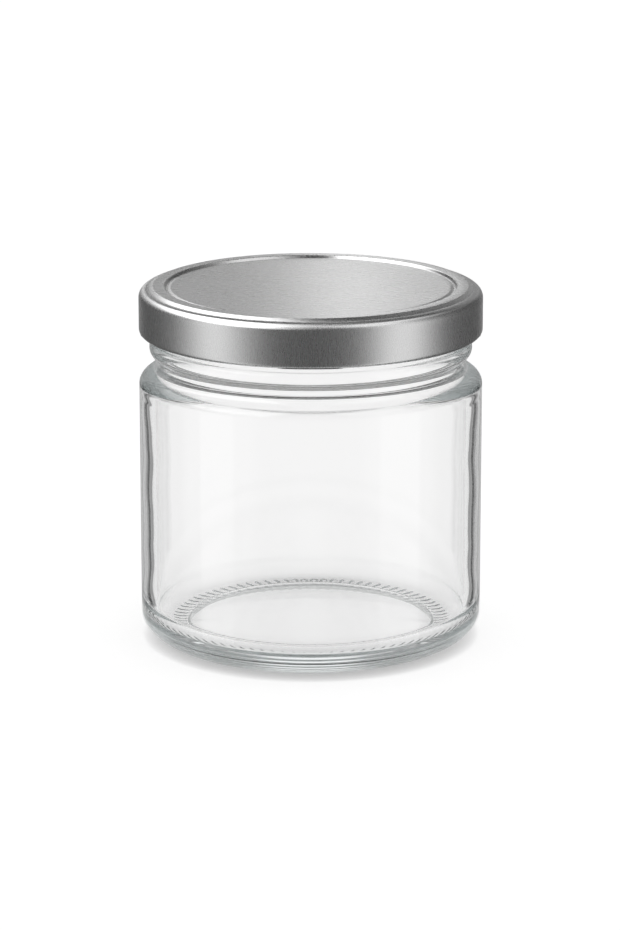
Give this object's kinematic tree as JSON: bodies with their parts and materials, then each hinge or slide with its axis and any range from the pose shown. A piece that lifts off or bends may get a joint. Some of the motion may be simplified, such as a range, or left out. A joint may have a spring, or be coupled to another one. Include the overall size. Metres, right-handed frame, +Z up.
{
  "type": "glass jar",
  "caption": "Straight-sided clear glass food jar with a brushed metal twist-off lug lid and a sealing ring under it; the lid unscrews and lifts clear.",
  "frame": {"origin": "on the surface that the jar stands on, under the middle of the jar", "axes": "+Z up along the axis of the jar, +X through one lug of the closed lid"},
  "size_m": [0.074, 0.074, 0.0777],
  "materials": {
    "clear_glass": "clear and smooth, faint grey-green at the edges",
    "brushed_tinplate": "satin, brushed up and down on the skirt and across the panel",
    "sealing_compound": "off-white, soft and matte"
  },
  "bodies": {
    "jar": {"glass_jar": "clear_glass"},
    "seal": {"sealing_ring": "sealing_compound"},
    "lid": {"lid_shell": "brushed_tinplate"}
  },
  "joints": [
    {"name": "lid_rise", "type": "slide", "parent": "jar", "child": "seal", "axis": [0, 0, 1], "range_m": [0, 0.0159]},
    {"name": "lid_turn", "type": "hinge", "parent": "seal", "child": "lid", "pos_m": [0, 0, 0.0676], "axis": [0, 0, 1], "range_deg": [0, 450]}
  ],
  "couplings": [
    {"joint": "lid_rise", "follows": "lid_turn", "m_per_rad": 0.0020213}
  ]
}
